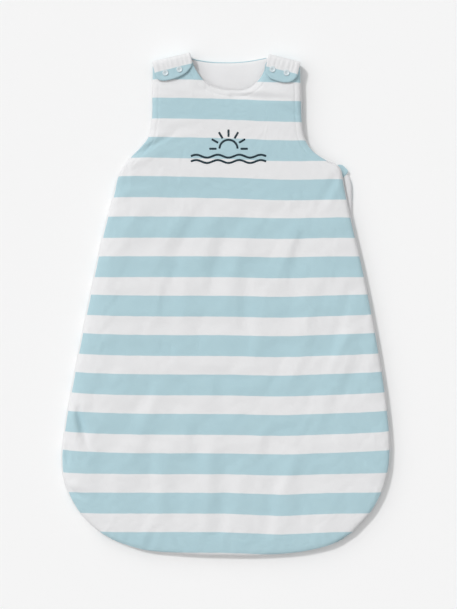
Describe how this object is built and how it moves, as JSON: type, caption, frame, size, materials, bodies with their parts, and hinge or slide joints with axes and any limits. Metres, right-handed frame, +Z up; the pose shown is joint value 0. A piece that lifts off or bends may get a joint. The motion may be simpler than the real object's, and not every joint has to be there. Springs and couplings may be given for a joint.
{
  "type": "baby sleeping bag",
  "caption": "Sleeveless padded baby sleeping bag with striped outer, side zip round the foot, and shoulder straps that close with press studs.",
  "frame": {"origin": "centre of the bag's footprint, on the surface that it lies on", "axes": "+Y along the bag towards the neck, +X towards the zipped side, +Z up out of the front"},
  "size_m": [0.4574, 0.7001, 0.0264],
  "materials": {
    "outer_fabric": "soft matt brushed knit, printed in pale blue and white bands",
    "wadding": "loose white polyester fibre",
    "lining": "soft matt white knit",
    "binding": "matt seam binding",
    "zip_tape": "woven tape",
    "zip_teeth": "moulded coil",
    "zip_metal": "dull tumbled metal",
    "snap_cap": "satin white",
    "snap_socket": "satin pale grey",
    "embroidery_thread": "satin stitch in navy thread",
    "label_satin": "blank satin tape"
  },
  "bodies": {
    "root": {"back_lining": "lining", "back_outer_panel": "outer_fabric", "back_wadding": "wadding", "care_label": "label_satin", "front_lining_upper": "lining", "front_outer_panel_upper": "outer_fabric", "front_wadding_upper": "wadding", "left_riser_lining": "lining", "left_riser_outer": "outer_fabric", "left_snap_posts": "snap_cap", "left_snap_studs": "snap_socket", "right_riser_lining": "lining", "right_riser_outer": "outer_fabric", "right_snap_posts": "snap_cap", "right_snap_studs": "snap_socket", "side_seam": "binding", "sun_embroidery": "embroidery_thread", "underarm_zip_guard": "binding", "wave_embroidery": "embroidery_thread", "zip_bottom_stop": "zip_metal", "zip_tape_back": "zip_tape", "zip_tape_front_upper": "zip_tape", "zip_teeth_back": "zip_teeth", "zip_teeth_front_upper": "zip_teeth", "zip_top_stops": "zip_metal"},
    "front_flap": {"front_lining_flap": "lining", "front_outer_panel_flap": "outer_fabric", "front_wadding_flap": "wadding", "zip_tape_front_flap": "zip_tape", "zip_teeth_front_flap": "zip_teeth"},
    "left_strap": {"left_snap_caps": "snap_cap", "left_snap_sockets": "snap_socket", "left_tab_lining": "lining", "left_tab_outer": "outer_fabric", "left_tab_wadding": "wadding"},
    "right_strap": {"right_snap_caps": "snap_cap", "right_snap_sockets": "snap_socket", "right_tab_lining": "lining", "right_tab_outer": "outer_fabric", "right_tab_wadding": "wadding"},
    "zip_slider": {"zip_slider": "zip_metal"},
    "zip_pull": {"zip_pull": "zip_metal"}
  },
  "joints": [
    {"name": "left_strap_fold", "type": "hinge", "parent": "root", "child": "left_strap", "pos_m": [-0.07939, 0.34429, 0.02115], "axis": [-0.9705, -0.2411, 0], "range_deg": [0, 170]},
    {"name": "right_strap_fold", "type": "hinge", "parent": "root", "child": "right_strap", "pos_m": [0.07939, 0.34429, 0.02115], "axis": [-0.9705, 0.2411, 0], "range_deg": [0, 170]},
    {"name": "front_flap_fold", "type": "hinge", "parent": "root", "child": "front_flap", "pos_m": [0.16526, 0.135, 0.0211], "axis": [-0.5756, -0.8177, 0], "range_deg": [0, 165]},
    {"name": "zip_slide", "type": "slide", "parent": "root", "child": "zip_slider", "axis": [0.2022, -0.9793, 0], "range_m": [0, 0.3]},
    {"name": "zip_pull_swing", "type": "hinge", "parent": "zip_slider", "child": "zip_pull", "pos_m": [0.15479, 0.17285, 0.0105], "axis": [0, 0, 1], "range_deg": [0, 150]}
  ]
}
